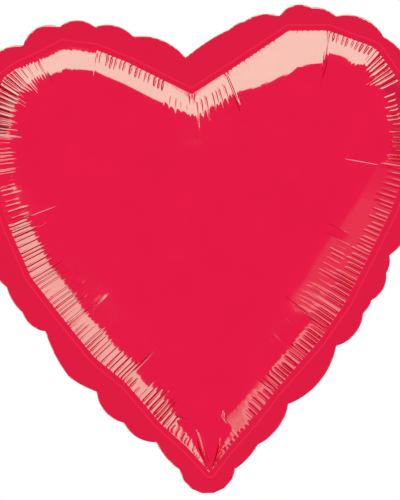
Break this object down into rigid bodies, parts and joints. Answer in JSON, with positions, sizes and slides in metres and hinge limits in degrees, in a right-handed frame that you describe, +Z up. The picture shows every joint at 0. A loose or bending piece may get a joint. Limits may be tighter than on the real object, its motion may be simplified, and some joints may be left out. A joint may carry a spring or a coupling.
{
  "type": "heart-shaped foil balloon",
  "caption": "Inflated heart-shaped foil balloon with a scalloped welded edge, a pleated shoulder, a self-sealing film valve and a filling tail folded up behind.",
  "frame": {"origin": "bottom of the heart's tip, on the mid-plane between the two foil panels, where the ribbon or stick is tied on", "axes": "front of the heart towards -Y, +Z up from the tip to the notch, +X to the right as seen from the front"},
  "size_m": [0.379, 0.116, 0.3958],
  "materials": {
    "red_foil": "polished",
    "red_foil_weld": "gloss",
    "valve_film": "satin"
  },
  "bodies": {
    "balloon": {"front_panel": "red_foil", "rear_panel": "red_foil", "perimeter_weld": "red_foil_weld", "valve_front_film_neck": "valve_film", "valve_rear_film_neck": "valve_film"},
    "valve_front": {"valve_front_flap": "valve_film"},
    "valve_rear": {"valve_rear_flap": "valve_film"},
    "tail": {"tail_front_ply": "red_foil", "tail_rear_ply": "red_foil", "tail_weld_left": "red_foil_weld", "tail_weld_right": "red_foil_weld", "valve_front_film_tail": "valve_film", "valve_rear_film_tail": "valve_film"}
  },
  "joints": [
    {"name": "valve_front_open", "type": "hinge", "parent": "balloon", "child": "valve_front", "pos_m": [0, -0.00025, 0.033], "axis": [1, 0, 0], "range_deg": [0, 5], "stiffness_Nm_per_rad": 0.0001},
    {"name": "valve_rear_open", "type": "hinge", "parent": "balloon", "child": "valve_rear", "pos_m": [0, 0.00025, 0.033], "axis": [-1, 0, 0], "range_deg": [0, 5], "stiffness_Nm_per_rad": 0.0001},
    {"name": "tail_fold", "type": "hinge", "parent": "balloon", "child": "tail", "pos_m": [0, 0.0025, 0.007], "axis": [-1, 0, 0], "range_deg": [0, 161]}
  ],
  "couplings": [
    {"joint": "valve_rear_open", "follows": "valve_front_open", "ratio": 1}
  ]
}
